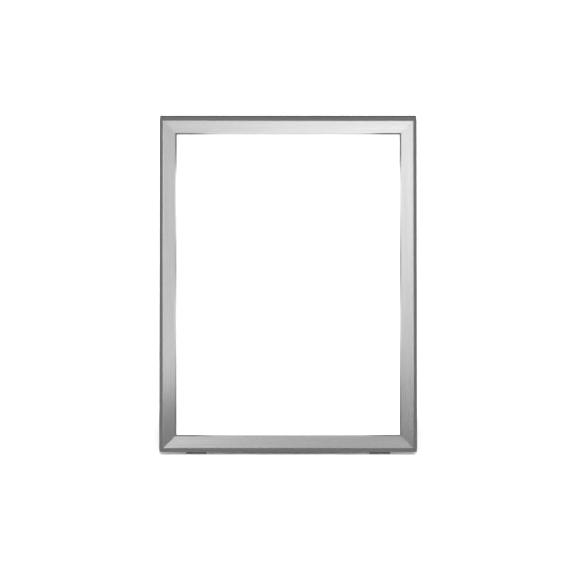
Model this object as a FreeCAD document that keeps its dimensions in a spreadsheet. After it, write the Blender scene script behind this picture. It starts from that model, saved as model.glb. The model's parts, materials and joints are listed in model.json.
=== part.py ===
import FreeCAD
import Part
import math
import os

# Folding sandwich board: two poster snap frames hinged along the top and held open by two
# sliding stays. Millimetres, +Z up, the front panel faces -Y and the floor is Z = 0.
#
# Each frame has its own axes: X across, Y up the panel from the bottom edge, Z out of the
# panel with Z = 0 on the frame's back. Each rail has its own axes too: X along the rail,
# Y inwards from the outer edge, Z out of the panel.

SIZES = {
    "board_width": (505.2, "frame across, outer edge to outer edge"),
    "board_height": (657.6, "frame up the panel, outer edge to outer edge"),
    "lean_angle": (15.0, "lean of each frame from upright, degrees"),
    "floor_gap": (2.5, "lowest edge of the aluminium above the floor"),
    "poster_inset": (24.0, "outer edge of the frame to the edge of the poster"),
    "panel_inset": (19.0, "outer edge of the frame to the edge of the back panel"),
    "rail_depth": (14.0, "frame thickness, back to crest of the snap rail"),
    "rail_face": (34.0, "outer edge to the inner lip of the snap rail"),
    "base_gauge": (1.4, "wall of the base extrusion"),
    "snap_gauge": (1.3, "wall of the snap extrusion"),
    "snap_mitre_gap": (0.15, "play left at each mitre of a snap rail"),
    "bead_radius": (1.4, "bead on the base that the snap rail turns on"),
    "bead_inset": (3.0, "outer edge to the centre of the bead"),
    "bead_height": (6.4, "back of the frame to the centre of the bead"),
    "panel_gauge": (1.0, "steel back panel"),
    "poster_gauge": (0.3, "paper poster"),
    "cover_gauge": (0.5, "clear cover sheet"),
    "key_gauge": (3.6, "corner key"),
    "spring_gauge": (0.5, "snap spring strip"),
    "spring_length": (32.0, "snap spring along the rail"),
    "hinge_gauge": (1.5, "hinge leaf"),
    "hinge_width": (48.0, "hinge leaf across"),
    "hinge_reach": (150.0, "board centre to each hinge"),
    "pin_inset": (4.0, "top edge of the frame to the hinge pin"),
    "pin_drop": (4.0, "back of the frame to the hinge pin"),
    "pin_radius": (1.75, "hinge pin"),
    "knuckle_radius": (3.7, "hinge knuckle outside"),
    "foot_length": (40.0, "rubber foot across"),
    "foot_reach": (180.0, "board centre to the middle of each foot"),
    "foot_gauge": (3.5, "rubber foot behind the frame"),
    "stay_length": (225.0, "stay arm between centres, and hinge pin to its pivot"),
    "stay_gauge": (2.0, "stay arm, bracket and track"),
    "stay_half_width": (7.0, "half the width of the stay arm"),
    "stay_plane": (215.0, "board centre to the inner face of the brackets"),
    "stay_pin_radius": (2.5, "stay pivot and slide pin"),
    "rivet_radius": (2.0, "rivet shank"),
    "screw_radius": (1.5, "screw shank"),
}

doc = FreeCAD.newDocument("SandwichBoard")
sheet = doc.addObject("Spreadsheet::Sheet", "Sizes")
for row, (alias, (value, note)) in enumerate(SIZES.items(), start=1):
    sheet.set(f"A{row}", note)
    sheet.set(f"B{row}", str(value))
    sheet.setAlias(f"B{row}", alias)
doc.recompute()


def size(alias):
    return float(getattr(sheet, alias))


WIDTH = size("board_width")
HEIGHT = size("board_height")
LEAN = math.radians(size("lean_angle"))
BEAD = (size("bead_inset"), size("bead_height"))
PIN_Y = HEIGHT - size("pin_inset")
PIN_Z = -size("pin_drop")
FIT = 0.05      # radial play of a shank in its hole
pieces = []


# ---------------------------------------------------------------- placements

def place(x=0.0, y=0.0, z=0.0, axis=(0, 0, 1), angle=0.0):
    return FreeCAD.Placement(FreeCAD.Vector(x, y, z),
                             FreeCAD.Rotation(FreeCAD.Vector(*axis), angle))


# The hinge pin stands over the middle of the board, so this is how far in front of it the
# bottom of the front frame is.
SPREAD = PIN_Y * math.sin(LEAN) - PIN_Z * math.cos(LEAN)
FRONT = place(0, -SPREAD, size("floor_gap"), (1, 0, 0), 90 - size("lean_angle"))
FRAMES = {"front": FRONT, "rear": place(axis=(0, 0, 1), angle=180) * FRONT}
TURNS = {"bottom": 0, "right": 90, "top": 180, "left": -90}
SPOTS = {"bottom": (0, 0), "right": (WIDTH / 2, HEIGHT / 2),
         "top": (0, HEIGHT), "left": (-WIDTH / 2, HEIGHT / 2)}


def rail_place(side):
    return place(*SPOTS[side], 0, angle=TURNS[side])


def rail_span(side):
    return "board_width" if side in ("top", "bottom") else "board_height"


def seen(frame, side):
    """Side as a person in front of the whole board names it: the rear frame faces away."""
    swap = {"left": "right", "right": "left"}
    return swap.get(side, side) if frame == "rear" else side


# ---------------------------------------------------------------- modelling helpers

def new_body(label, placement, group=False):
    body = doc.addObject("PartDesign::Body", label)
    body.Label = label
    body.AllowCompound = group
    body.Placement = placement
    pieces.append(body)
    return body


def new_sketch(body, role, offset=0.0):
    sketch = body.newObject("Sketcher::SketchObject", "Sketch")
    plane = next(f for f in body.Origin.OriginFeatures if f.Role == role)
    sketch.AttachmentSupport = [(plane, "")]
    sketch.MapMode = "FlatFace"
    sketch.AttachmentOffset = place(0, 0, offset)
    return sketch


def spot(point):
    return FreeCAD.Vector(point[0], point[1], 0)


def draw(sketch, start, *steps):
    """Closed outline: a point is a straight step, a (middle, end) pair of points an arc."""
    here = start
    for step in steps + (start,):
        if isinstance(step[0], tuple):
            middle, there = step
            sketch.addGeometry(Part.Arc(spot(here), spot(middle), spot(there)))
        elif math.dist(here, step) > 1e-6:
            there = step
            sketch.addGeometry(Part.LineSegment(spot(here), spot(there)))
        here = there


def draw_box(sketch, x0, y0, x1, y1):
    draw(sketch, (x0, y0), (x1, y0), (x1, y1), (x0, y1))


def draw_hole(sketch, x, y, radius):
    axis = FreeCAD.Vector(0, 0, 1)
    sketch.addGeometry(Part.Circle(FreeCAD.Vector(x, y, 0), axis, radius))


def draw_slot(sketch, x0, x1, y, radius):
    draw(sketch, (x0, y - radius), (x1, y - radius),
         ((x1 + radius, y), (x1, y + radius)), (x0, y + radius),
         ((x0 - radius, y), (x0, y - radius)))


def pad(body, sketch, length, middle=False):
    feature = body.newObject("PartDesign::Pad", "Pad")
    feature.Profile = sketch
    feature.Midplane = middle
    feature.setExpression("Length", length)


def pocket(body, sketch, depth, middle=False):
    """Cuts from the sketch against its normal, or both ways from it."""
    doc.recompute()
    before = body.Shape.Volume
    feature = body.newObject("PartDesign::Pocket", "Pocket")
    feature.Profile = sketch
    feature.Midplane = middle
    feature.setExpression("Length", depth)
    doc.recompute()
    if not body.Shape.Volume < before - 1e-3:
        raise RuntimeError(f"a pocket cuts nothing in {body.Label}")


def ring(centre, radius, degrees):
    turn = math.radians(degrees)
    return (centre[0] + radius * math.cos(turn), centre[1] + radius * math.sin(turn))


def crossing(point, direction, other, other_direction):
    """Where two lines in a plane meet."""
    cross = direction[0] * other_direction[1] - direction[1] * other_direction[0]
    gap = (other[0] - point[0], other[1] - point[1])
    along = (gap[0] * other_direction[1] - gap[1] * other_direction[0]) / cross
    return (point[0] + along * direction[0], point[1] + along * direction[1])


# ---------------------------------------------------------------- base rails

WEB_EDGE = 0.6          # the back web starts just inside the snap rail's outer edge
RIB = (5.6, 7.0)        # rib that carries the bead
INNER_RIB = (17.0, 18.4)
LEDGE = (33.0, 5.0)     # inner end and underside of the ledge that carries the panel
LEDGE_LIP = 3.4
GROOVE = (6.4, 7.5, 8.7)    # panel seat, underside and top of the retaining lip
GROOVE_LIP = 23.4
CHANNEL_LIP = (15.4, 5.5, 6.7)
FOOT_WALL = (2.0, 3.0)
NECK_TURN = 322.5       # direction of the bead's neck
NECK_HALF = 0.575
SCREW_ROW = 12.0        # screws and rivets through the back web, from the outer edge
KEY_SCREW = 40.0        # corner screws along the rail, from the board's corner


def draw_base_section(sketch):
    wall = size("base_gauge")
    radius = size("bead_radius")
    flare = math.degrees(math.asin(NECK_HALF / radius))
    along = (math.cos(math.radians(NECK_TURN)), math.sin(math.radians(NECK_TURN)))
    upper = ring(BEAD, radius, NECK_TURN + flare)
    lower = ring(BEAD, radius, NECK_TURN - flare)
    rib_in = crossing(upper, along, (RIB[1], 0), (0, 1))
    rib_out = crossing(lower, along, (RIB[0], 0), (0, 1))
    draw(sketch, (WEB_EDGE, 0), (INNER_RIB[1], 0), (INNER_RIB[1], LEDGE[1]),
         (LEDGE[0] - wall, LEDGE[1]), (LEDGE[0] - wall, LEDGE_LIP), (LEDGE[0], LEDGE_LIP),
         (LEDGE[0], GROOVE[0]), (INNER_RIB[1], GROOVE[0]), (INNER_RIB[1], GROOVE[1]),
         (GROOVE_LIP, GROOVE[1]), (GROOVE_LIP, GROOVE[2]), (INNER_RIB[0], GROOVE[2]),
         (INNER_RIB[0], CHANNEL_LIP[2]), (CHANNEL_LIP[0], CHANNEL_LIP[2]),
         (CHANNEL_LIP[0], CHANNEL_LIP[1]), (INNER_RIB[0], CHANNEL_LIP[1]),
         (INNER_RIB[0], wall), (RIB[1], wall), rib_in, upper,
         (ring(BEAD, radius, NECK_TURN - 180), lower), rib_out,
         (RIB[0], wall), (FOOT_WALL[0], wall), FOOT_WALL, (WEB_EDGE, FOOT_WALL[1]))


def cut_mitres(body, span, gap):
    reach = size("rail_face") + 4
    over = 4
    sketch = new_sketch(body, "XY_Plane")
    for end in (-1, 1):
        tip = span / 2 - gap
        draw(sketch, (end * (tip + over), -over), (end * (tip + 2 * over), -over),
             (end * (tip + 2 * over), reach), (end * (tip - reach), reach))
    pocket(body, sketch, "4 * Sizes.rail_depth", middle=True)


def base_holes(frame, side):
    """Holes through the back web as (along, inwards, radius), in the rail's own axes."""
    half = size(rail_span(side)) / 2
    screw = size("screw_radius") + FIT
    rivet = size("rivet_radius") + FIT
    holes = [(end * (half - KEY_SCREW), SCREW_ROW, screw) for end in (-1, 1)]
    if side == "top":
        holes += [(end * size("hinge_reach") + step, HINGE_RIVET[1], rivet)
                  for end in (-1, 1) for step in (-HINGE_RIVET[0], HINGE_RIVET[0])]
    elif side == "bottom":
        holes += [(end * size("foot_reach") + step, FOOT_SCREW[1], screw)
                  for end in (-1, 1) for step in (-FOOT_SCREW[0], FOOT_SCREW[0])]
    else:
        up = 1 if side == "right" else -1
        holes += [(up * (y - half), SCREW_ROW, rivet) for y in stay_rivet_rows(frame)]
    return holes


def base_rail(frame, side):
    body = new_body(f"{frame}_base_{seen(frame, side)}", FRAMES[frame] * rail_place(side))
    section = new_sketch(body, "YZ_Plane")
    draw_base_section(section)
    pad(body, section, f"Sizes.{rail_span(side)}", middle=True)
    cut_mitres(body, size(rail_span(side)), 0)
    web = size("base_gauge")
    sketch = new_sketch(body, "XY_Plane", web + 0.4)
    for hole in base_holes(frame, side):
        draw_hole(sketch, *hole)
    pocket(body, sketch, "Sizes.base_gauge + 1")


# ---------------------------------------------------------------- snap rails

CREST_RADIUS = 7.5          # round outer corner of the snap rail
FALL = 7.6                  # fall of its face towards the poster, degrees
BEVEL = (3.0, 2.13)         # inner bevel, inwards and down
LIP_HEIGHT = 8.3            # the lip stops just above the cover sheet
HOOK = (1.5, 3.0)           # hook that turns on the bead, inside and outside radius
HOOK_SPAN = (-5.0, 200.0)
RELIEF = (6.4, 9.5)         # hook left out at the corners: along the rail, and height


def draw_snap_section(sketch):
    wall = size("snap_gauge")
    face = size("rail_face")
    centre = (CREST_RADIUS, size("rail_depth") - CREST_RADIUS)
    top_turn = 90 - FALL
    inner = CREST_RADIUS - wall
    slope = (math.cos(math.radians(FALL)), -math.sin(math.radians(FALL)))
    bevel_top = crossing(ring(centre, CREST_RADIUS, top_turn), slope,
                         (face - BEVEL[0], 0), (0, 1))
    bevel_end = (face, bevel_top[1] - BEVEL[1])
    length = math.hypot(*BEVEL)
    inset = (-wall * BEVEL[1] / length, -wall * BEVEL[0] / length)
    under_bevel = (bevel_top[0] + inset[0], bevel_top[1] + inset[1])
    bevel_way = (BEVEL[0], -BEVEL[1])
    under_top = crossing(ring(centre, inner, top_turn), slope, under_bevel, bevel_way)
    under_end = crossing(under_bevel, bevel_way, (0, LIP_HEIGHT), (1, 0))
    # the inner arc of the round corner runs into the outside of the hook
    apart = math.dist(centre, BEAD)
    along = (inner ** 2 - HOOK[1] ** 2 + apart ** 2) / (2 * apart)
    lift = math.sqrt(inner ** 2 - along ** 2)
    way = ((BEAD[0] - centre[0]) / apart, (BEAD[1] - centre[1]) / apart)
    meet = (centre[0] + along * way[0] + lift * way[1],
            centre[1] + along * way[1] - lift * way[0])
    meet_turn = math.degrees(math.atan2(meet[1] - BEAD[1], meet[0] - BEAD[0]))
    inner_turn = math.degrees(math.atan2(meet[1] - centre[1], meet[0] - centre[0]))
    tip, heel = HOOK_SPAN
    draw(sketch, ring(BEAD, HOOK[1], heel),
         (ring(BEAD, HOOK[1], (heel + 180) / 2), ring(BEAD, HOOK[1], 180)),
         (0, centre[1]),
         (ring(centre, CREST_RADIUS, (180 + top_turn) / 2),
          ring(centre, CREST_RADIUS, top_turn)),
         bevel_top, bevel_end, (face, LIP_HEIGHT), under_end, under_top,
         ring(centre, inner, top_turn),
         (ring(centre, inner, (top_turn + inner_turn) / 2), meet),
         (ring(BEAD, HOOK[1], (meet_turn + tip) / 2), ring(BEAD, HOOK[1], tip)),
         ring(BEAD, HOOK[0], tip),
         (ring(BEAD, HOOK[0], (tip + heel) / 2), ring(BEAD, HOOK[0], heel)))


def snap_rail(frame, side):
    body = new_body(f"{frame}_snap_rail_{seen(frame, side)}",
                    FRAMES[frame] * rail_place(side))
    section = new_sketch(body, "YZ_Plane")
    draw_snap_section(section)
    pad(body, section, f"Sizes.{rail_span(side)}", middle=True)
    span = size(rail_span(side))
    cut_mitres(body, span, size("snap_mitre_gap"))
    relief = new_sketch(body, "XY_Plane", RELIEF[1])
    for end in (-1, 1):
        inner, outer = sorted((end * (span / 2 - RELIEF[0]), end * (span / 2 + 1)))
        draw_box(relief, inner, -1, outer, RELIEF[0])
    pocket(body, relief, "Sizes.rail_depth / 2")


# ---------------------------------------------------------------- inside each frame

KEY = (7.2, 16.8, 55.0)     # corner key: outer side, inner side and end of its legs
KEY_SEAT = 1.5
SCREW_HEAD = (3.2, 1.6)     # radius and height
CORNERS = [(x, y) for x in (-1, 1) for y in (-1, 1)]


def corner_spot(corner, p, q):
    """Point p in from the side edge and q in from the top or bottom edge at a corner."""
    return (corner[0] * (WIDTH / 2 - p), HEIGHT / 2 + corner[1] * (HEIGHT / 2 - q))


def corner_keys(frame):
    near, far, end = KEY
    body = new_body(f"{frame}_corner_keys", FRAMES[frame], group=True)
    sketch = new_sketch(body, "XY_Plane", KEY_SEAT)
    for corner in CORNERS:
        points = [(near, near), (end, near), (end, far), (far, far), (far, end), (near, end)]
        draw(sketch, *[corner_spot(corner, *point) for point in points])
        for point in ((SCREW_ROW, KEY_SCREW), (KEY_SCREW, SCREW_ROW)):
            draw_hole(sketch, *corner_spot(corner, *point), size("screw_radius") + FIT)
    pad(body, sketch, "Sizes.key_gauge")


def pin_group(label, placement, spots, radius, length, bottom, heads):
    """Upright pins or rivets at the spots; heads are (bottom, height, radius)."""
    body = new_body(label, placement, group=True)
    for low, rise, around in [(bottom, length, size(radius))] + heads:
        sketch = new_sketch(body, "XY_Plane", low)
        for x, y in spots:
            draw_hole(sketch, x, y, around)
        pad(body, sketch, f"{rise} mm")


def corner_screws(frame):
    spots = [corner_spot(corner, *point) for corner in CORNERS
             for point in ((SCREW_ROW, KEY_SCREW), (KEY_SCREW, SCREW_ROW))]
    radius, rise = SCREW_HEAD
    pin_group(f"{frame}_corner_screws", FRAMES[frame], spots, "screw_radius",
              4.6 + rise, -rise, [(-rise, rise, radius)])


SPRING_SPOTS = {"board_width": 1 / 6, "board_height": 0.3}   # clear of rivets and screws


def snap_springs(frame):
    """Bent spring strips that stand in the base's channel under the snap rails."""
    gauge = size("spring_gauge")
    floor = size("base_gauge")
    long = size("spring_length")
    knee = [(15.5, floor), (8.6, floor), (7.8, floor + 0.8), (7.8, 8.6), (8.6, 9.9),
            (12.6, 11.1)]
    strip = Part.makePolygon([FreeCAD.Vector(0, y, z) for y, z in knee])
    face = strip.makeOffset2D(gauge, join=2, fill=True, openResult=True)
    spring = face.extrude(FreeCAD.Vector(long, 0, 0))
    spring.translate(FreeCAD.Vector(-long / 2, 0, 0))
    solids = []
    for side in TURNS:
        for end in (-1, 1):
            copy = spring.copy()
            span = rail_span(side)
            spot_along = place(end * SPRING_SPOTS[span] * size(span))
            copy.Placement = rail_place(side) * spot_along * copy.Placement
            solids.append(copy)
    group = doc.addObject("Part::Feature", f"{frame}_snap_springs")
    group.Label = f"{frame}_snap_springs"
    group.Shape = Part.makeCompound(solids)
    group.Placement = FRAMES[frame]
    pieces.append(group)


def flat_sheet(frame, name, inset, gauge, seat):
    box = doc.addObject("Part::Box", f"{frame}_{name}")
    box.Label = f"{frame}_{name}"
    box.setExpression("Length", f"Sizes.board_width - 2 * Sizes.{inset}")
    box.setExpression("Width", f"Sizes.board_height - 2 * Sizes.{inset}")
    box.setExpression("Height", f"Sizes.{gauge}")
    corner = place(-WIDTH / 2 + size(inset), size(inset), seat)
    box.Placement = FRAMES[frame] * corner
    pieces.append(box)


# ---------------------------------------------------------------- hinges

KNUCKLES = ((-24.0, -12.2), (0.2, 12.0))    # own knuckles along the leaf
KNUCKLE_LENGTH = 11.8
NOTCH = 7.2             # leaf left out round the other leaf's knuckles
LEAF_END = 18.0
HINGE_RIVET = (14.0, 12.5)
RIVET_HEAD = (3.4, 1.2)
RIVET_TAIL = (2.7, 0.8)
PIN_HEAD = (2.8, 1.5)


def hinge_leaf(frame, end):
    middle = end * size("hinge_reach")
    side = seen(frame, "right" if end > 0 else "left")
    body = new_body(f"{frame}_hinge_leaf_{side}", FRAMES[frame])
    left = middle - size("hinge_width") / 2
    right = middle + size("hinge_width") / 2
    (_, first_end), (second, second_end) = KNUCKLES
    plate = new_sketch(body, "XY_Plane", -size("hinge_gauge"))
    low, high, notch = HEIGHT - LEAF_END, PIN_Y, HEIGHT - NOTCH
    draw(plate, (left, low), (right, low), (right, notch), (middle + second_end, notch),
         (middle + second_end, high), (middle + second, high), (middle + second, notch),
         (middle + first_end, notch), (middle + first_end, high), (left, high))
    for step in (-HINGE_RIVET[0], HINGE_RIVET[0]):
        draw_hole(plate, middle + step, HEIGHT - HINGE_RIVET[1], size("rivet_radius") + FIT)
    pad(body, plate, "Sizes.hinge_gauge")
    for start, _ in KNUCKLES:
        barrel = new_sketch(body, "YZ_Plane", middle + start)
        draw_hole(barrel, PIN_Y, PIN_Z, size("knuckle_radius"))
        pad(body, barrel, f"{KNUCKLE_LENGTH} mm")
    bore = new_sketch(body, "YZ_Plane", right + 1)
    draw_hole(bore, PIN_Y, PIN_Z, size("pin_radius") + FIT)
    pocket(body, bore, "Sizes.hinge_width + 2")


def cross_pin(label, placement, middle, shank, heads, radius):
    """Pin along X through (y, z) = middle; shank and heads are (start, end[, radius])."""
    body = new_body(label, placement)
    for start, end, around in [shank + (size(radius),)] + heads:
        sketch = new_sketch(body, "YZ_Plane", min(start, end))
        draw_hole(sketch, *middle, around)
        pad(body, sketch, f"{abs(end - start)} mm")


def hinge_pin(end):
    middle = end * size("hinge_reach")
    half = size("hinge_width") / 2 + 0.3
    radius, rise = PIN_HEAD
    heads = [(middle - half - rise, middle - half, radius),
             (middle + half, middle + half + rise, radius)]
    side = "right" if end > 0 else "left"
    cross_pin(f"hinge_pin_{side}", FRONT, (PIN_Y, PIN_Z),
              (middle - half - rise, middle + half + rise), heads, "pin_radius")


def rivets(label, placement, spots, gauge):
    """Rivets through a plate of this gauge and the back web, head outside, tail inside."""
    web = size("base_gauge")
    head, rise = RIVET_HEAD
    tail, tail_rise = RIVET_TAIL
    pin_group(label, placement, spots, "rivet_radius",
              rise + size(gauge) + web + tail_rise, -size(gauge) - rise,
              [(-size(gauge) - rise, rise, head), (web, tail_rise, tail)])


def hinge_rivets(frame):
    spots = [(end * size("hinge_reach") + step, HEIGHT - HINGE_RIVET[1])
             for end in (-1, 1) for step in (-HINGE_RIVET[0], HINGE_RIVET[0])]
    rivets(f"{frame}_hinge_rivets", FRAMES[frame], spots, "hinge_gauge")


# ---------------------------------------------------------------- feet

FOOT_SCREW = (12.0, 9.5)
FOOT_TOP = 16.0
FOOT_TOE = 2.0          # how far the foot reaches under the frame
FOOT_HEAD = (2.9, 1.3)  # screw head, sunk in the rubber


def sole(z):
    """Height up the panel at which the floor meets the frame's depth z."""
    return -(size("floor_gap") + z * math.sin(LEAN)) / math.cos(LEAN)


def foot(frame, end):
    back = -size("foot_gauge")
    side = seen(frame, "right" if end > 0 else "left")
    body = new_body(f"{frame}_foot_{side}", FRAMES[frame])
    middle = end * size("foot_reach")
    block = new_sketch(body, "YZ_Plane", middle - size("foot_length") / 2)
    draw(block, (sole(back), back), (sole(FOOT_TOE), FOOT_TOE), (WEB_EDGE, FOOT_TOE),
         (WEB_EDGE, 0), (FOOT_TOP, 0), (FOOT_TOP, back + 1), (FOOT_TOP - 2, back))
    pad(body, block, "Sizes.foot_length")
    for radius, top, depth in ((size("screw_radius") + FIT, 1, 6),
                               (FOOT_HEAD[0] + 0.2, back + 1.5, 3)):
        holes = new_sketch(body, "XY_Plane", top)
        for step in (-FOOT_SCREW[0], FOOT_SCREW[0]):
            draw_hole(holes, middle + step, FOOT_SCREW[1], radius)
        pocket(body, holes, f"{depth} mm")


def foot_screws(frame):
    spots = [(end * size("foot_reach") + step, FOOT_SCREW[1])
             for end in (-1, 1) for step in (-FOOT_SCREW[0], FOOT_SCREW[0])]
    radius, rise = FOOT_HEAD
    low = -size("foot_gauge") + 1.5 - rise
    pin_group(f"{frame}_foot_screws", FRAMES[frame], spots, "screw_radius",
              3.0 - low, low, [(low, rise, radius)])


# ---------------------------------------------------------------- stays

STAY_TAB = 12.0         # tab that each bracket end is riveted by
STAY_TAB_END = 246.0    # board centre to the outer end of a tab
STAY_DEPTH = 10.0       # bracket behind the frame's back
BRACKET_HALF = 22.0
TRACK_SPARE = 24.0      # track past the slide pin's travel
SLOT_PLAY = 0.25
STAY_HEAD = 4.2
ARM_GAP = 0.6
ARM_TURN = -90 - size("lean_angle") + 4 * size("lean_angle")


def pivot_row():
    return PIN_Y - size("stay_length")


def slide_rows():
    """Lowest and highest slide pin rows: folded flat, and open."""
    arm = size("stay_length")
    return (PIN_Y - 2 * arm, PIN_Y - 2 * arm * math.cos(2 * LEAN))


def stay_span(frame):
    low, high = slide_rows()
    if frame == "front":
        return (pivot_row() - BRACKET_HALF, pivot_row() + BRACKET_HALF)
    return (low - TRACK_SPARE, high + TRACK_SPARE)


def stay_rivet_rows(frame):
    low, high = stay_span(frame)
    return (low + STAY_TAB / 2, high - STAY_TAB / 2)


def stay_plate(frame, end):
    """Bracket on the front frame or slotted track on the rear frame: web and two tabs."""
    name = "stay_bracket" if frame == "front" else "stay_track"
    side = seen(frame, "right" if end > 0 else "left")
    body = new_body(f"{name}_{side}", FRAMES[frame])
    gauge = size("stay_gauge")
    inner = size("stay_plane")
    low, high = stay_span(frame)
    web = new_sketch(body, "YZ_Plane", inner if end > 0 else -inner - gauge)
    draw(web, (low, 0), (low, -gauge), (low + STAY_TAB - 4, -STAY_DEPTH),
         (high - STAY_TAB + 4, -STAY_DEPTH), (high, -gauge), (high, 0))
    if frame == "front":
        draw_hole(web, pivot_row(), PIN_Z, size("stay_pin_radius") + FIT)
    else:
        draw_slot(web, slide_rows()[0] - SLOT_PLAY, slide_rows()[1] + SLOT_PLAY, PIN_Z,
                  size("stay_pin_radius") + SLOT_PLAY)
    pad(body, web, "Sizes.stay_gauge")
    tabs = new_sketch(body, "XY_Plane", -gauge)
    for start in (low, high - STAY_TAB):
        x0, x1 = sorted((end * inner, end * STAY_TAB_END))
        draw_box(tabs, x0, start, x1, start + STAY_TAB)
    row = WIDTH / 2 - SCREW_ROW
    for y in stay_rivet_rows(frame):
        draw_hole(tabs, end * row, y, size("rivet_radius") + FIT)
    pad(body, tabs, "Sizes.stay_gauge")


def stay_rivets(frame):
    row = WIDTH / 2 - SCREW_ROW
    spots = [(end * row, y) for end in (-1, 1) for y in stay_rivet_rows(frame)]
    name = "stay_bracket_rivets" if frame == "front" else "stay_track_rivets"
    rivets(name, FRAMES[frame], spots, "stay_gauge")


def stay_parts(end):
    """Arm, its pivot on the front frame and its slide pin in the rear frame's track."""
    side = "right" if end > 0 else "left"
    gauge = size("stay_gauge")
    half = size("stay_half_width")
    long = size("stay_length")
    face = size("stay_plane") - ARM_GAP
    at_pivot = FRONT.multVec(FreeCAD.Vector(0, pivot_row(), PIN_Z))
    arm_place = place(at_pivot.x, at_pivot.y, at_pivot.z, (1, 0, 0), ARM_TURN)
    arm = new_body(f"stay_arm_{side}", arm_place)
    outline = new_sketch(arm, "YZ_Plane", face - gauge if end > 0 else -face)
    draw_slot(outline, 0, long, 0, half)
    draw_hole(outline, 0, 0, size("stay_pin_radius") + 2 * FIT)
    draw_hole(outline, long, 0, size("stay_pin_radius") + FIT)
    pad(arm, outline, "Sizes.stay_gauge")
    outside = size("stay_plane") + gauge
    inside = face - gauge
    head = 1.4
    cross_pin(f"stay_pivot_{side}", FRONT, (pivot_row(), PIN_Z),
              (end * (inside - 0.2 - head), end * (outside + head)),
              [(end * (inside - 0.2 - head), end * (inside - 0.2), STAY_HEAD),
               (end * outside, end * (outside + head), STAY_HEAD)], "stay_pin_radius")
    cross_pin(f"stay_slide_pin_{side}", arm_place, (long, 0),
              (end * (inside - head), end * (outside + 0.3 + head)),
              [(end * (inside - head), end * inside, STAY_HEAD),
               (end * (outside + 0.3), end * (outside + 0.3 + head), STAY_HEAD)],
              "stay_pin_radius")


# ---------------------------------------------------------------- the whole board

for frame_name in FRAMES:
    for rail_side in TURNS:
        base_rail(frame_name, rail_side)
        snap_rail(frame_name, rail_side)
    corner_keys(frame_name)
    corner_screws(frame_name)
    snap_springs(frame_name)
    panel_seat = GROOVE[0]
    poster_seat = panel_seat + size("panel_gauge")
    cover_seat = poster_seat + size("poster_gauge")
    flat_sheet(frame_name, "back_panel", "panel_inset", "panel_gauge", panel_seat)
    flat_sheet(frame_name, "poster", "poster_inset", "poster_gauge", poster_seat)
    flat_sheet(frame_name, "cover_sheet", "poster_inset", "cover_gauge", cover_seat)
    for across in (-1, 1):
        hinge_leaf(frame_name, across)
        foot(frame_name, across)
        stay_plate(frame_name, across)
    hinge_rivets(frame_name)
    foot_screws(frame_name)
    stay_rivets(frame_name)
for across in (-1, 1):
    hinge_pin(across)
    stay_parts(across)
doc.recompute()

for item in doc.Objects:
    if "Invalid" in item.State or "Error" in item.State:
        raise RuntimeError(f"{item.Label} failed to compute: {item.State}")
for piece in pieces:
    if piece.Shape.isNull() or not piece.Shape.isValid() or not piece.Shape.Solids:
        raise RuntimeError(f"{piece.Label} is not a valid solid")

os.makedirs("parts", exist_ok=True)
for piece in pieces:
    piece.Shape.exportStep(f"parts/{piece.Label}.step")
box = FreeCAD.BoundBox()
for piece in pieces:
    box.add(piece.Shape.BoundBox)
print(f"{len(pieces)} pieces, {box.XLength:.1f} x {box.YLength:.1f} x {box.ZLength:.1f} mm,"
      f" floor at {box.ZMin:.3f}")
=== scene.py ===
import json
import math

import bpy
import numpy as np
from bpy.props import FloatProperty, FloatVectorProperty, PointerProperty
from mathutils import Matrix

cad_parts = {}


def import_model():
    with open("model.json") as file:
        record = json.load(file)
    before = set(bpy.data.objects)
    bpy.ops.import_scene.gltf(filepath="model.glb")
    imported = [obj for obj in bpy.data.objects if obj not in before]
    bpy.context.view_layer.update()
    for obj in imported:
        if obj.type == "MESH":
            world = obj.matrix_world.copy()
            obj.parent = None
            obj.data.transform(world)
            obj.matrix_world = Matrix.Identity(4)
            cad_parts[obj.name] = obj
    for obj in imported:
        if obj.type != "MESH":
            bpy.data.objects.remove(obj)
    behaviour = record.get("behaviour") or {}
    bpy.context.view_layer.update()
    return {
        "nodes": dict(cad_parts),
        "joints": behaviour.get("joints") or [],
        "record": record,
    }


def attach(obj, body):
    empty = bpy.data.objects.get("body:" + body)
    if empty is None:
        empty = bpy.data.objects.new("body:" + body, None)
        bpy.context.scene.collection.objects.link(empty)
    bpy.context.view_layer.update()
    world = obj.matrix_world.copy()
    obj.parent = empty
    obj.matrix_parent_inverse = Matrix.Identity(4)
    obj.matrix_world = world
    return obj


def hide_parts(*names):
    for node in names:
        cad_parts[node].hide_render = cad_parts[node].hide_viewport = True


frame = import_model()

bl_info = {
    "name": "Sandwich board",
    "version": (1, 0, 0),
    "blender": (4, 5, 0),
    "location": "View3D > Sidebar > Sandwich board",
    "description": "Finishes a folding poster board: rails, panels, hinges, stays and feet",
    "category": "Object",
}

# Outlines are in millimetres, as a maker's drawing has them. Each frame has its own axes:
# X across, Y up the panel from the bottom edge, Z out of the panel with Z = 0 on the frame's
# back. Each rail has its own too: X along it, Y inwards, Z out of the panel.

MM = 0.001
JOINTS = {joint["name"]: joint for joint in frame["joints"]}
BODY_OF = {node: body for body, nodes in frame["record"]["behaviour"]["bodies"].items()
           for node in nodes}
FRAMES = ("front", "rear")
SIDES = ("bottom", "right", "top", "left")
ENDS = (-1, 1)
RAILS = [(frame_side, side) for frame_side in FRAMES for side in SIDES]
FRAME_ENDS = [(frame_side, end) for frame_side in FRAMES for end in ENDS]
SHEET_AIR = 0.04        # air between the poster and its cover, millimetres


# ---- sizes and colours

def length(name, description, default):
    return FloatProperty(name=name, description=description, default=default * MM,
                         unit="LENGTH", precision=5)


def colour(name, description, default):
    return FloatVectorProperty(name=name, description=description, default=default,
                               subtype="COLOR", size=3, min=0.0, max=1.0)


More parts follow.
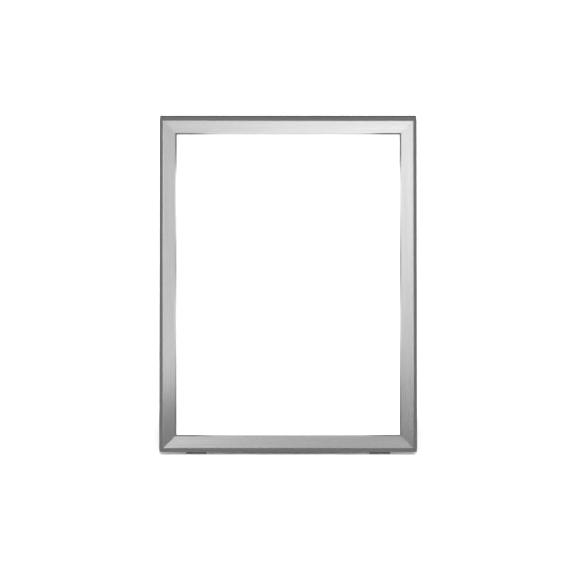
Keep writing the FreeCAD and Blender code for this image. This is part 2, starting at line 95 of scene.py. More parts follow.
class BoardSizes(bpy.types.PropertyGroup):
    rail_depth: length("Rail depth", "Back of the frame to the crest of the rail", 14.0)
    rail_face: length("Rail face", "Outer edge to the inner lip of the rail", 34.0)
    crest_radius: length("Crest radius", "Round outer corner of the snap rail", 7.5)
    snap_gauge: length("Snap gauge", "Wall of the snap rail", 1.3)
    base_gauge: length("Base gauge", "Wall of the base rail", 1.4)
    bead_inset: length("Bead inset", "Outer edge to the snap rail's pivot bead", 3.0)
    bead_height: length("Bead height", "Back of the frame to the pivot bead", 6.4)
    mitre_gap: length("Mitre gap", "Play at each mitre of a snap rail", 0.15)
    pin_inset: length("Pin inset", "Top edge of the frame to the hinge pin", 4.0)
    pin_drop: length("Pin drop", "Back of the frame to the hinge pin", 4.0)
    panel_inset: length("Panel inset", "Outer edge to the edge of the back panel", 19.0)
    poster_inset: length("Poster inset", "Outer edge to the edge of the poster", 24.0)
    panel_seat: length("Panel seat", "Back of the frame to the back of the panel", 6.4)
    panel_gauge: length("Panel gauge", "Steel back panel", 1.0)
    poster_gauge: length("Poster gauge", "Paper poster", 0.3)
    cover_gauge: length("Cover gauge", "Clear cover sheet", 0.5)
    edge_round: length("Edge round", "Small radius on sharp extruded edges", 0.22)


class BoardColours(bpy.types.PropertyGroup):
    anodised: colour("Anodised", "Silver anodised aluminium", (0.83, 0.835, 0.83))
    mill: colour("Mill finish", "Plain extruded aluminium", (0.72, 0.725, 0.73))
    galvanised: colour("Galvanised", "Zinc coated steel sheet", (0.60, 0.62, 0.64))
    zinc: colour("Zinc", "Bright zinc plate on the fittings", (0.66, 0.67, 0.68))
    spring: colour("Spring", "Blued spring steel", (0.16, 0.17, 0.20))
    paper: colour("Paper", "Blank poster", (0.93, 0.93, 0.925))
    film: colour("Film", "Clear cover sheet", (0.92, 0.94, 0.94))
    rubber: colour("Rubber", "Grey rubber feet", (0.13, 0.13, 0.132))
    floor: colour("Floor", "Pale studio floor", (0.92, 0.92, 0.92))


class BoardStage(bpy.types.PropertyGroup):
    view_width: length("View width", "Width of the picture at the board", 1123.6)
    view_height: FloatProperty(name="View height", description="Camera above the horizon",
                               default=math.radians(11.5), subtype="ANGLE")
    aim_across: length("Aim across", "Middle of the picture from the board's middle", -3.3)
    aim_up: length("Aim up", "Middle of the picture above the front panel's middle", -3.9)


def sizes():
    return bpy.context.scene.board_sizes


def colours():
    return bpy.context.scene.board_colours


def mm(name):
    """A size from the sizes panel, in millimetres."""
    return getattr(sizes(), name) / MM


# ---- places

class Place:
    """Axes that a piece is drawn in: an origin in metres and three unit axes as rows."""

    def __init__(self, origin, axes):
        self.origin = np.asarray(origin, float)
        self.axes = np.asarray(axes, float)

    def points(self, local):
        return self.origin + (np.asarray(local, float) * MM) @ self.axes

    def ways(self, local):
        return np.asarray(local, float) @ self.axes

    def at(self, x=0.0, y=0.0, z=0.0, turn=np.eye(3)):
        """Axes moved by (x, y, z) millimetres, with new axes as the rows of turn."""
        return Place(self.points((x, y, z)), np.asarray(turn, float) @ self.axes)


ALONG_X = ((0, 1, 0), (0, 0, 1), (1, 0, 0))     # new Z axis runs along the old X


def joint_spot(name):
    return np.array(JOINTS[name]["pos_m"])


LEAN = math.asin(JOINTS["front_right_rail_snap"]["axis"][1])


def board_size():
    """Width and height of a frame in millimetres, from the rails' pivot lines."""
    across = joint_spot("front_right_rail_snap") - joint_spot("front_left_rail_snap")
    up = joint_spot("front_top_rail_snap") - joint_spot("front_bottom_rail_snap")
    spare = 2 * mm("bead_inset")
    return np.linalg.norm(across) / MM + spare, np.linalg.norm(up) / MM + spare


def pin_row():
    """Height up the panel of the hinge pin."""
    return board_size()[1] - mm("pin_inset")


def frame_place(side):
    """Axes of the front or rear frame."""
    turn = 1 if side == "front" else -1
    across = np.array((turn, 0.0, 0.0))
    up = np.array((0.0, turn * math.sin(LEAN), math.cos(LEAN)))
    out = np.array((0.0, -turn * math.cos(LEAN), math.sin(LEAN)))
    origin = joint_spot("fold") - up * (pin_row() * MM) + out * mm("pin_drop") * MM
    return Place(origin, (across, up, out))


def rail_place(frame_side, side):
    """Axes of a rail, its side named as the frame's own axes have it."""
    width, height = board_size()
    spots = {"bottom": (0, 0), "right": (width / 2, height / 2), "top": (0, height),
             "left": (-width / 2, height / 2)}
    turn = SIDES.index(side) * math.pi / 2
    cos, sin = round(math.cos(turn)), round(math.sin(turn))
    axes = ((cos, sin, 0), (-sin, cos, 0), (0, 0, 1))
    return frame_place(frame_side).at(*spots[side], 0, axes)


def seen(frame_side, side):
    """Side as a person in front of the whole board names it: the rear frame faces away."""
    swap = {"left": "right", "right": "left"}
    return swap.get(side, side) if frame_side == "rear" else side


def end_name(frame_side, end):
    """Left or right for an end of a frame's X axis."""
    return seen(frame_side, "right" if end > 0 else "left")


def rail_length(side):
    width, height = board_size()
    return width if side in ("top", "bottom") else height


# ---- surfaces

def linked(name, data):
    """A new object in the scene."""
    made = bpy.data.objects.new(name, data)
    bpy.context.scene.collection.objects.link(made)
    return made


def grid_faces(index):
    """Four-sided faces between neighbours in a grid of point numbers."""
    return np.stack((index[:-1, :-1], index[:-1, 1:], index[1:, 1:], index[1:, :-1]),
                    2).reshape(-1, 4)


class Shell:
    """Collects closed surfaces and makes them one mesh object."""

    def __init__(self):
        self.points, self.faces, self.ways, self.maps = [], [], [], []
        self.count = 0

    def add(self, place, points, faces, maps, ways=None):
        """Points, groups of faces as rows of point numbers, and for each group its corners'
        map points and normals."""
        self.points.append(place.points(points))
        for i, group in enumerate(faces):
            self.faces += (np.asarray(group) + self.count).tolist()
            self.maps.append(np.asarray(maps[i], float).reshape(-1, 2))
            if ways is not None:
                self.ways.append(place.ways(np.asarray(ways[i]).reshape(-1, 3)))
        self.count += len(points)

    def mesh(self, name, sharp=35.0):
        """The surfaces as one mesh, without unused points. Without normals of its own,
        edges over the sharp angle in degrees stay crisp."""
        points = np.concatenate(self.points)
        corners = np.array([corner for face in self.faces for corner in face])
        used, back = np.unique(corners, return_inverse=True)
        cuts = np.cumsum([len(face) for face in self.faces])[:-1]
        faces = [face.tolist() for face in np.split(back, cuts)]
        mesh = bpy.data.meshes.new(name)
        mesh.from_pydata(points[used].tolist(), [], faces)
        layer = mesh.uv_layers.new(name="surface")
        layer.data.foreach_set("uv", (np.concatenate(self.maps) * MM).ravel())
        mesh.shade_smooth()
        if self.ways:
            mesh.normals_split_custom_set(np.concatenate(self.ways).tolist())
        else:
            mesh.set_sharp_from_angle(angle=math.radians(sharp))
        return mesh

    def make(self, node, material, sharp=35.0):
        """A piece that stands for a CAD node."""
        mesh = self.mesh(f"{node}_shaped", sharp)
        mesh.materials.append(material)
        piece = linked(mesh.name, mesh)
        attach(piece, BODY_OF[node])
        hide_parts(node)
        return piece


def carve(piece, shell, operation="DIFFERENCE"):
    """Cuts a shell out of a piece, or joins it on with UNION, and keeps the result."""
    sharp = 28.0
    tool = linked("tool", shell.mesh("tool"))
    step = piece.modifiers.new("carve", "BOOLEAN")
    step.operation, step.solver, step.object = operation, "EXACT", tool
    graph = bpy.context.evaluated_depsgraph_get()
    name, old = piece.data.name, piece.data
    made = bpy.data.meshes.new_from_object(piece.evaluated_get(graph))
    piece.modifiers.remove(step)
    piece.data = made
    bpy.data.objects.remove(tool)
    bpy.data.meshes.remove(old)
    made.name = name
    made.set_sharp_from_angle(angle=math.radians(sharp))
    if not made.polygons:
        raise RuntimeError(f"{piece.name}: the cut left nothing")


def arc(centre, radius, start, end, count, side=1):
    """Points round a centre, centre + radius * (cos a, sin a), with a in degrees from start
    to end, each with its normal from the centre, or to it where side is -1."""
    turn = np.radians(np.linspace(start, end, count))
    way = np.stack((np.cos(turn), np.sin(turn)), 1)
    return np.hstack((np.asarray(centre) + radius * way, side * way))


def ring_spot(centre, radius, degrees):
    """The point on a circle at an angle."""
    turn = math.radians(degrees)
    return centre[0] + radius * math.cos(turn), centre[1] + radius * math.sin(turn)


CORNER_POINTS = 5


def corner(before, here, after, radius):
    """A corner rounded by an arc that touches both of its sides, as points and normals."""
    before, here, after = (np.asarray(p[:2], float) for p in (before, here, after))
    back = (before - here) / np.linalg.norm(before - here)
    on = (after - here) / np.linalg.norm(after - here)
    half = math.acos(np.clip(back @ on, -1, 1)) / 2
    reach = radius / math.tan(half)
    middle = here + (back + on) / np.linalg.norm(back + on) * radius / math.sin(half)
    first, last = here + back * reach - middle, here + on * reach - middle
    start = math.degrees(math.atan2(first[1], first[0]))
    turn = math.degrees(math.atan2(first[0] * last[1] - first[1] * last[0], first @ last))
    return arc(middle, radius, start, start + turn, CORNER_POINTS, 1 if turn > 0 else -1)


def outline(*parts):
    """Closed anticlockwise outline. A part is (x, y, radius), a corner to round, or an
    array of points with normals. Gives the points, and the normals at the two ends of the
    step after each, so that flats stay flat beside the rounds."""
    ends = [(p[0][:2], p[-1][:2]) if isinstance(p, np.ndarray) else (p[:2], p[:2])
            for p in parts]
    pieces = []
    for i, part in enumerate(parts):
        if isinstance(part, np.ndarray):
            pieces.append(part)
        else:
            after = ends[(i + 1) % len(parts)][0]
            pieces.append(corner(ends[i - 1][1], part, after, part[2]))
    rows = np.concatenate(pieces)
    points, ways = rows[:, :2], rows[:, 2:]
    starts, finishes = ways.copy(), np.roll(ways, -1, 0)
    joins = np.cumsum([len(piece) for piece in pieces]) - 1
    step = np.roll(points, -1, 0) - points
    flat = np.stack((step[:, 1], -step[:, 0]), 1)
    size = np.linalg.norm(flat, axis=1)
    least = 1e-6
    joins = joins[size[joins] > least]
    starts[joins] = finishes[joins] = flat[joins] / size[joins, None]
    return points, starts, finishes


def girth(points):
    """Distance along a closed outline to each point, and round to the first again."""
    step = np.linalg.norm(np.roll(points, -1, 0) - points, axis=1)
    return np.concatenate(([0.0], np.cumsum(step)))


def prism(shell, place, section, stations, steps=None, ends=None, extra=()):
    """Carries an outline in Y and Z along X. stations has the X of each outline point in a
    row for each station, so that an end can be slanted. steps says for each band between
    stations which outline steps it has. ends are (station, point numbers, side) faces."""
    points, starts, finishes = section
    rows, cols = stations.shape
    around = girth(points)
    wide = np.broadcast_to(points, (rows, cols, 2))
    grid = np.concatenate((stations[:, :, None], wide), 2).reshape(-1, 3)
    every = np.arange(cols)
    faces, maps, ways = [], [], []
    for band in range(rows - 1):
        step = every if steps is None else steps[band]
        after = (step + 1) % cols
        low, high = band * cols, (band + 1) * cols
        faces.append(np.stack((low + step, low + after, high + after, high + step), 1))
        s0, s1 = stations[band], stations[band + 1]
        maps.append(np.stack((np.stack((s0[step], around[step]), 1),
                              np.stack((s0[after], around[step + 1]), 1),
                              np.stack((s1[after], around[step + 1]), 1),
                              np.stack((s1[step], around[step]), 1)), 1))
        zero = np.zeros((len(step), 1))
        start, finish = np.hstack((zero, starts[step])), np.hstack((zero, finishes[step]))
        ways.append(np.stack((start, finish, finish, start), 1))
    flats = list(extra)
    for station, order, side in ends or ((0, every, -1), (rows - 1, every, 1)):
        flats.append(station * cols + (order if side > 0 else order[::-1]))
    for flat in flats:
        spots = grid[flat]
        way = np.cross(spots, np.roll(spots, -1, 0)).sum(0)
        faces.append(np.asarray(flat)[None])
        maps.append(spots[None, :, 1:])
        ways.append(np.broadcast_to(way / np.linalg.norm(way), spots.shape)[None])
    shell.add(place, grid, faces, maps, ways)


def straight(section, low, high):
    """Two stations of a prism that is cut square at both ends."""
    return np.repeat(np.array([[low], [high]], float), len(section[0]), 1)


def slab(shell, place, x_span, y_span, low, high, cols, rows):
    """Sheet over a grid of x = x0 + u * width and y = y0 + v * height, its back at z = low
    and its front at z = high, joined by a rim."""
    x, y = np.meshgrid(np.linspace(*x_span, cols), np.linspace(*y_span, rows))
    front, back = (np.stack((x, y, np.full(x.shape, z)), 2).reshape(-1, 3)
                   for z in (high, low))
    index = np.arange(rows * cols).reshape(rows, cols)
    quad = grid_faces(index)
    edge = np.concatenate((index[0, :-1], index[:-1, -1], index[-1, :0:-1],
                           index[:0:-1, 0]))
    after = np.roll(edge, -1)
    under = rows * cols
    rim = np.stack((edge + under, after + under, after, edge), 1)
    grid = np.concatenate((front, back))
    faces = [quad, quad[:, ::-1] + under, rim]
    shell.add(place, grid, faces, [grid[face][:, :, :2] for face in faces])


def lathe(shell, place, profile, count=40, relief=None):
    """Turns rows of (radius, height) about Z: x = r cos a, y = r sin a. The first and last
    rows are on the axis. relief(x, y) lifts points of the low end, as for a screw's cross."""
    profile = np.asarray(profile, float)
    turn = np.linspace(0, 2 * math.pi, count, endpoint=False)
    inner = profile[1:-1]
    x, y = np.outer(inner[:, 0], np.cos(turn)), np.outer(inner[:, 0], np.sin(turn))
    z = np.repeat(inner[:, 1:], count, 1)
    poles = np.stack(((0, 0), (0, 0), profile[(0, -1), 1]), 1).astype(float)
    grid = np.concatenate((np.stack((x, y, z), 2).reshape(-1, 3), poles))
    if relief is not None:
        grid[:, 2] += relief(grid)
    index = np.arange(inner.shape[0] * count).reshape(-1, count)
    after = np.roll(index, -1, 1)
    bottom, top = len(grid) - 2, len(grid) - 1
    faces = [np.stack((index[:-1], after[:-1], after[1:], index[1:]), 2).reshape(-1, 4),
             np.stack((np.full(count, bottom), after[0], index[0]), 1),
             np.stack((index[-1], after[-1], np.full(count, top)), 1)]
    maps = [grid[face][:, :, :2] + grid[face][:, :, 2:] for face in faces]
    shell.add(place, grid, faces, maps)


# ---- materials

def add_node(tree, kind, inputs, **settings):
    """A node with its inputs set to values, or linked where a value is a socket."""
    made = tree.nodes.new(kind)
    for key, value in settings.items():
        setattr(made, key, value)
    for socket, value in inputs.items():
        if isinstance(value, bpy.types.NodeSocket):
            tree.links.new(value, made.inputs[socket])
        else:
            made.inputs[socket].default_value = value
    return made


def noise(tree, scale, detail, rough=0.5, stretch=(1.0, 1.0, 1.0), source="Object"):
    """Noise over coordinates in metres, stretched per axis. Without detail, crystal cells."""
    spot = add_node(tree, "ShaderNodeTexCoord", {}).outputs[source]
    spread = add_node(tree, "ShaderNodeMapping", {"Scale": stretch, "Vector": spot})
    inputs = {"Scale": scale, "Vector": spread.outputs["Vector"]}
    if detail is None:
        return add_node(tree, "ShaderNodeTexVoronoi", inputs).outputs["Color"]
    inputs.update({"Detail": detail, "Roughness": rough})
    return add_node(tree, "ShaderNodeTexNoise", inputs).outputs["Fac"]


# Each finish: its colour, shader settings, noises as noise() takes them, and what they drive.
# That is colour factors from low to high, roughness from low to high, and bump, with its
# height in metres and its strength.
METAL = {"Metallic": 1.0}
FINISHES = {
    "anodised aluminium": (         # satin, with fine die lines along the extrusion
        "anodised", METAL | {"Roughness": 0.25},
        {"lines": (1.0, 4.0, 0.6, (3.0, 1400.0, 1.0), "UV"),
         "tone": (1.0, 2.0, 0.5, (6.0, 160.0, 1.0), "UV")},
        ("tone", (0.965, 0.96, 0.965), (1.02, 1.02, 1.0)),
        ("lines", 0.23, 0.29), ("lines", 0.000004, 0.35)),
    "mill finish aluminium": (      # as it leaves the die, a little duller and greyer
        "mill", METAL | {"Roughness": 0.42},
        {"lines": (1.0, 4.0, 0.6, (2.0, 900.0, 1.0), "UV"),
         "haze": (1.0, 3.0, 0.5, (20.0, 60.0, 1.0), "UV")},
        ("haze", (0.90, 0.90, 0.91), (1.03, 1.03, 1.03)),
        ("lines", 0.36, 0.52), ("lines", 0.000008, 0.4)),
    "galvanised steel": (           # with a spangle of crystals
        "galvanised", METAL | {"Roughness": 0.42},
        {"crystals": (75.0, None), "grain": (900.0, 3.0)},
        ("crystals", (0.86, 0.87, 0.88), (1.06, 1.06, 1.06)),
        ("crystals", 0.32, 0.5), ("grain", 0.00001, 0.3)),
    "zinc plate": (                 # bright, with faint cloudy patches and rubbed spots
        "zinc", METAL | {"Roughness": 0.3}, {"cloud": (220.0, 4.0), "grain": (2600.0, 3.0)},
        ("cloud", (0.86, 0.87, 0.90), (1.05, 1.04, 1.0)),
        ("cloud", 0.24, 0.42), ("grain", 0.000006, 0.35)),
    "key steel": (                  # cut bar, ground along its length
        "zinc", METAL | {"Roughness": 0.38}, {"lines": (1.0, 3.0, 0.5, (40.0, 900.0, 900.0))},
        ("lines", (0.80, 0.80, 0.82), (0.98, 0.98, 0.98)),
        ("lines", 0.3, 0.48), ("lines", 0.00001, 0.4)),
    "spring steel": (               # blued strip
        "spring", METAL | {"Roughness": 0.35}, {"heat": (120.0, 3.0)},
        ("heat", (0.7, 0.75, 1.0), (1.25, 1.1, 0.9)), ("heat", 0.28, 0.45), None),
    "poster paper": (               # matt, with a faint fibre grain
        "paper", {"Roughness": 0.85, "Specular IOR Level": 0.25},
        {"fibre": (1500.0, 5.0, 0.65)},
        ("fibre", (0.992, 0.992, 0.99), (1.008, 1.008, 1.008)),
        None, ("fibre", 0.00002, 0.2)),
    "clear film": (                 # anti-glare: nearly all light goes through
        "film", {"Roughness": 0.32, "Alpha": 0.10}, {"grain": (2200.0, 2.0)},
        ("grain", (0.98, 0.98, 0.98), (1.02, 1.02, 1.02)),
        ("grain", 0.28, 0.38), ("grain", 0.000008, 0.2)),
    "rubber": (                     # moulded, a little dusty
        "rubber", {"Roughness": 0.72, "Specular IOR Level": 0.35},
        {"dust": (160.0, 4.0), "grain": (1800.0, 3.0)},
        ("dust", (0.85, 0.85, 0.85), (1.25, 1.23, 1.2)),
        ("dust", 0.62, 0.85), ("grain", 0.00004, 0.5)),
    "studio floor": (               # with a faint mottle
        "floor", {"Roughness": 0.9, "Specular IOR Level": 0.0}, {"mottle": (3.0, 3.0)},
        ("mottle", (0.99, 0.99, 0.99), (1.01, 1.01, 1.01)), None, None),
}


def finish(name):
    """The material of that name, built once."""
    if name in bpy.data.materials:
        return bpy.data.materials[name]
    base, settings, noises, tint, rough, bump = FINISHES[name]
    base = getattr(colours(), base)
    made = bpy.data.materials.new(name)
    made.use_nodes = True
    tree = made.node_tree
    shader = tree.nodes["Principled BSDF"]
    for socket, value in ({"Base Color": (*base, 1)} | settings).items():
        shader.inputs[socket].default_value = value
    if "Alpha" in settings:
        made.surface_render_method = "BLENDED"
    fields = {key: noise(tree, *details) for key, details in noises.items()}

    def spread(key, low, high):
        """Maps a noise, mostly between 0.3 and 0.7, or a cell's value to low..high."""
        start, end = (0.0, 1.0) if noises[key][1] is None else (0.3, 0.7)
        return add_node(tree, "ShaderNodeMapRange", {
            "Value": fields[key], "From Min": start, "From Max": end, "To Min": low,
            "To Max": high}).outputs["Result"]

    def scaled(factors):
        return (*[min(part * factor, 1) for part, factor in zip(base, factors)], 1)

    first, second, result = 6, 7, 2         # the mix node's colour sockets
    key, low, high = tint
    mix = add_node(tree, "ShaderNodeMix", {
        "Factor": spread(key, 0, 1), first: scaled(low), second: scaled(high)},
        data_type="RGBA")
    tree.links.new(mix.outputs[result], shader.inputs["Base Color"])
    if rough:
        tree.links.new(spread(*rough), shader.inputs["Roughness"])
    if bump:
        key, height, strength = bump
        lift = add_node(tree, "ShaderNodeBump", {
            "Strength": strength, "Distance": height, "Height": fields[key]})
        tree.links.new(lift.outputs["Normal"], shader.inputs["Normal"])
    return made


def dress(nodes, material, edge=0.25):
    """Finishes CAD nodes: welded and eased edges, and a material."""
    weld_reach, smooth = 0.002, 35.0
    for node in nodes:
        piece = frame["nodes"][node]
        piece.data.materials.clear()
        piece.data.materials.append(material)
        weld = piece.modifiers.new("weld", "WELD")
        weld.merge_threshold = weld_reach * MM
        bevel = piece.modifiers.new("eased edges", "BEVEL")
        bevel.width = edge * MM
        bevel.segments = 2
        bevel.limit_method = "ANGLE"
        bevel.angle_limit = math.radians(smooth)
        bevel.harden_normals = True


# ---- rails

def snap_section():
    """Outline of the snap rail in its own Y and Z: a round crest, a face that falls to the
    poster, a bevelled lip, and a hook round the base rail's bead. Also the numbers of the
    points where the hook leaves the shell, outside and inside."""
    face, wall, radius = mm("rail_face"), mm("snap_gauge"), mm("crest_radius")
    centre = (radius, mm("rail_depth") - radius)
    bead = (mm("bead_inset"), mm("bead_height"))
    fall = 7.6                      # fall of the face, degrees
    bevel_in, bevel_down = 3.0, 2.13
    lip = 8.3                       # height of the lip's edge
    relief = 9.5                    # the hook is cut back at the corners below this
    hook_in, hook_out = 1.5, 3.0
    bevel_round, under_round = 1.6, 0.5
    tip = math.degrees((hook_out - hook_in) / (hook_out + hook_in))
    heel, toe, hook_root = 200.0 - tip, -5.0 + tip, 108.0
    inner = radius - wall
    top = 90.0 - fall
    slope = math.tan(math.radians(fall))
    crest_end = ring_spot(centre, radius, top)
    bevel_y = face - bevel_in
    bevel_z = crest_end[1] - (bevel_y - crest_end[0]) * slope
    bevel_turn = math.atan2(bevel_down, bevel_in)
    shift = wall / math.cos(bevel_turn)
    under_start = ring_spot(centre, inner, top)
    bevel_slope = bevel_down / bevel_in
    under_y = (under_start[1] + under_start[0] * slope - bevel_z + shift
               - bevel_y * bevel_slope) / (slope - bevel_slope)
    under_z = under_start[1] - (under_y - under_start[0]) * slope
    end_y = bevel_y + (bevel_z - shift - lip) / bevel_slope
    out_turn = 180.0 - math.degrees(math.asin((relief - centre[1]) / radius))
    in_turn = 180.0 - math.degrees(math.asin((relief - centre[1]) / inner))
    middle = (hook_in + hook_out) / 2
    half = (hook_out - hook_in) / 2
    edge = mm("edge_round")
    shell_arc = arc(centre, radius, top, out_turn, 22)
    hook = [arc(centre, radius, out_turn, 180.0, 9)[1:],
            arc(ring_spot(bead, middle, heel), half, heel, heel + 180, 9),
            arc(bead, hook_in, heel, toe, 25, -1)[1:-1],
            arc(ring_spot(bead, middle, toe), half, toe + 180, toe + 360, 9),
            arc(bead, hook_out, toe, hook_root, 15)[1:]]
    section = outline((face, lip, edge), (face, bevel_z - bevel_down, edge),
                      (bevel_y, bevel_z, bevel_round), shell_arc, np.concatenate(hook),
                      arc(centre, inner, in_turn, top, 18, -1),
                      (under_y, under_z, under_round), (end_y, lip, edge))
    hook_start = 3 * CORNER_POINTS + len(shell_arc) - 1
    hook_end = hook_start + sum(len(part) for part in hook) + 1
    return section, hook_start, hook_end


def snap_rail(frame_side, side):
    """A mitred snap rail with its hook cut back at both ends."""
    section, leave, join = snap_section()
    points = section[0]
    half = rail_length(side) / 2
    cut_back, least = 6.4, 2.0      # of the hook, from the corner and from the mitre
    mitre = half - mm("mitre_gap") - points[:, 0]
    inside = np.minimum(half - cut_back, mitre - least)
    stations = np.stack((-mitre, -inside, inside, mitre))
    cols = len(points)
    hook = np.arange(leave, join)
    skin = np.concatenate((np.arange(join, cols), np.arange(0, leave)))
    around = np.concatenate((skin, [leave]))
    steps = [skin, np.arange(cols), skin]
    ends = [(0, around, -1), (3, around, 1), (1, np.append(hook, join), -1),
            (2, np.append(hook, join), 1)]
    ledges = [np.array((band * cols + leave, band * cols + join,
                        (band + 1) * cols + join, (band + 1) * cols + leave))
              for band in (0, 2)]
    shell = Shell()
    prism(shell, rail_place(frame_side, side), section, stations, steps, ends, ledges)
    node = f"{frame_side}_snap_rail_{seen(frame_side, side)}"
    shell.make(node, finish("anodised aluminium"))


def base_section():
    """Outline of the base rail: web, foot wall, rib with the bead, key channel, and the
    groove and ledge that hold the back panel."""
    wall = mm("base_gauge")
    bead = (mm("bead_inset"), mm("bead_height"))
    radius, neck, neck_half = 1.4, 322.5, 0.575
    flare = math.degrees(math.asin(neck_half / radius))
    upper, lower = neck + flare, neck - flare
    slope = math.tan(math.radians(neck))
    high = ring_spot(bead, radius, upper)
    low = ring_spot(bead, radius, lower)
    rib_out, rib_in = 5.6, 7.0
    web_edge, foot_in, foot_top = 0.6, 2.0, 3.0
    channel, key_wall, key_roof, key_end, key_top = 18.4, 17.0, 7.5, 23.4, 8.7
    nib_low, nib_high, nib_end = 5.5, 6.7, 15.4
    ledge, ledge_end, rim_back, rim_end = 5.0, 31.6, 3.4, 33.0
    seat, edge, small = mm("panel_seat"), mm("edge_round"), 0.12
    return outline(
        (web_edge, 0, edge), (channel, 0, edge), (channel, ledge, small),
        (ledge_end, ledge, small), (ledge_end, rim_back, edge), (rim_end, rim_back, edge),
        (rim_end, seat, edge), (channel, seat, small), (channel, key_roof, small),
        (key_end, key_roof, edge), (key_end, key_top, edge), (key_wall, key_top, edge),
        (key_wall, nib_high, small), (nib_end, nib_high, edge), (nib_end, nib_low, edge),
        (key_wall, nib_low, small), (key_wall, wall, edge), (rib_in, wall, edge),
        (rib_in, high[1] + (rib_in - high[0]) * slope, edge),
        arc(bead, radius, upper - 360, lower, 33),
        (rib_out, low[1] + (rib_out - low[0]) * slope, edge),
        (rib_out, wall, edge), (foot_in, wall, edge), (foot_in, foot_top, edge),
        (web_edge, foot_top, edge))


def base_rail(frame_side, side):
    """A base rail, mitred at both ends."""
    section = base_section()
    mitre = rail_length(side) / 2 - section[0][:, 0]
    shell = Shell()
    prism(shell, rail_place(frame_side, side), section, np.stack((-mitre, mitre)))
    node = f"{frame_side}_base_{seen(frame_side, side)}"
    shell.make(node, finish("mill finish aluminium"))


# ---- sheets

def sheets(name, inset, seat, gauge, material):
    """A flat sheet in each frame, its back at seat and its edge inset from the frame's."""
    width, height = board_size()
    inset, cells, sharp = mm(inset), 24, 30.0
    spans = (-width / 2 + inset, width / 2 - inset), (inset, height - inset)
    for frame_side in FRAMES:
        shell = Shell()
        slab(shell, frame_place(frame_side), *spans, seat, seat + mm(gauge), cells,
             round(cells * height / width))
        shell.make(f"{frame_side}_{name}", material, sharp)


def poster_seat():
    return mm("panel_seat") + mm("panel_gauge")


# ---- fasteners

def dome(radius, base, rise, power, count):
    """Low end of a head: z = base - rise (1 - (r / radius)^p)^(1 / p), from the axis out."""
    turn = np.linspace(0, math.pi / 2, count)
    shape = 2 / power
    return np.stack((radius * np.sin(turn) ** shape,
                     base - rise * np.cos(turn) ** shape), 1).tolist()


def cross_slot(reach, half, depth, below):
    """Relief of a cross recess: depth where either arm's distance is inside its half width,
    half as deep at the arms' ends, for points lower than a height."""
    def lift(grid):
        x, y = np.abs(grid[:, 0]), np.abs(grid[:, 1])
        long, short = np.maximum(x, y), np.minimum(x, y)
        inside = (short < half) & (long < reach) & (grid[:, 2] < below)
        return np.where(inside, depth * (1 - 0.5 * long / reach), 0.0)
    return lift


def screw(shell, place, head, base, top):
    """Pan head screw with a cross recess. head is (radius, height)."""
    radius, rise = head
    shank, point, blunt = 1.5, 0.8, 0.5
    reach, half, depth, below = 0.56 * radius, 0.13 * radius, 0.62 * rise, base - 0.3 * rise
    rows = dome(radius, base, rise, 3.0, 22)
    rows += [(radius, base), (shank, base), (shank, top - point), (blunt, top), (0, top)]
    lathe(shell, place, rows, 64, cross_slot(reach, half, depth, below))


def rivet(shell, place, gauge):
    """Blind rivet through a plate of this gauge and the web, its head outside and its
    upset tail inside. The head is dished where the mandrel broke off."""
    head, rise, tail, tail_rise, shank = 3.4, 1.2, 2.7, 0.8, 2.0
    web, pit, floor_radius, depth, lip, clear = mm("base_gauge"), 0.95, 0.75, 0.35, 0.05, 0.15
    crest = -gauge - rise
    crown = [row for row in dome(head, -gauge, rise, 2.2, 14) if row[0] > pit + clear]
    rows = [(0, crest + depth), (floor_radius, crest + depth), (pit, crest + lip)] + crown
    rows += [(shank, -gauge), (shank, web)]
    rows += [(r, 2 * web - z) for r, z in dome(tail, web, tail_rise, 2.4, 8)[::-1]]
    lathe(shell, place, rows, 40)


def cross_pin(node, place, shank, heads):
    """Pin along X with a domed head at each end. shank is its radius, heads are the two
    heads' (inner face, outer face, radius) from low to high X."""
    (in0, out0, r0), (in1, out1, r1) = heads
    power, count = 2.6, 9
    rows = dome(r0, in0, in0 - out0, power, count)
    rows += [(shank, in0), (shank, in1)]
    rows += [(r, 2 * in1 - z) for r, z in dome(r1, in1, out1 - in1, power, count)[::-1]]
    shell = Shell()
    lathe(shell, place.at(turn=ALONG_X), rows, 36)
    shell.make(node, finish("zinc plate"))


def corner_spots():
    """Corner screws: 12 mm in from an edge and 40 mm along it from each corner."""
    width, height = board_size()
    row, along = 12.0, 40.0
    return [(x * (width / 2 - p), height / 2 + y * (height / 2 - q))
            for x in ENDS for y in ENDS for p, q in ((row, along), (along, row))]


def upright_group(node, frame_side, spots, build, *details):
    """Like fasteners at (x, y) spots of a frame, as one piece."""
    shell = Shell()
    for x, y in spots:
        build(shell, frame_place(frame_side).at(x, y), *details)
    shell.make(node, finish("zinc plate"))


# ---- hinges

HINGE_REACH = 150.0     # board's middle to each hinge, millimetres
HINGE_HALF = 24.0       # half a leaf's width
HINGE_GAUGE = 1.5
KNUCKLES = ((-HINGE_HALF, -12.2), (0.2, 12.0))
RIVET_STEP = 14.0       # hinge rivets from the leaf's middle
RIVET_ROW = 12.5        # and from the top edge


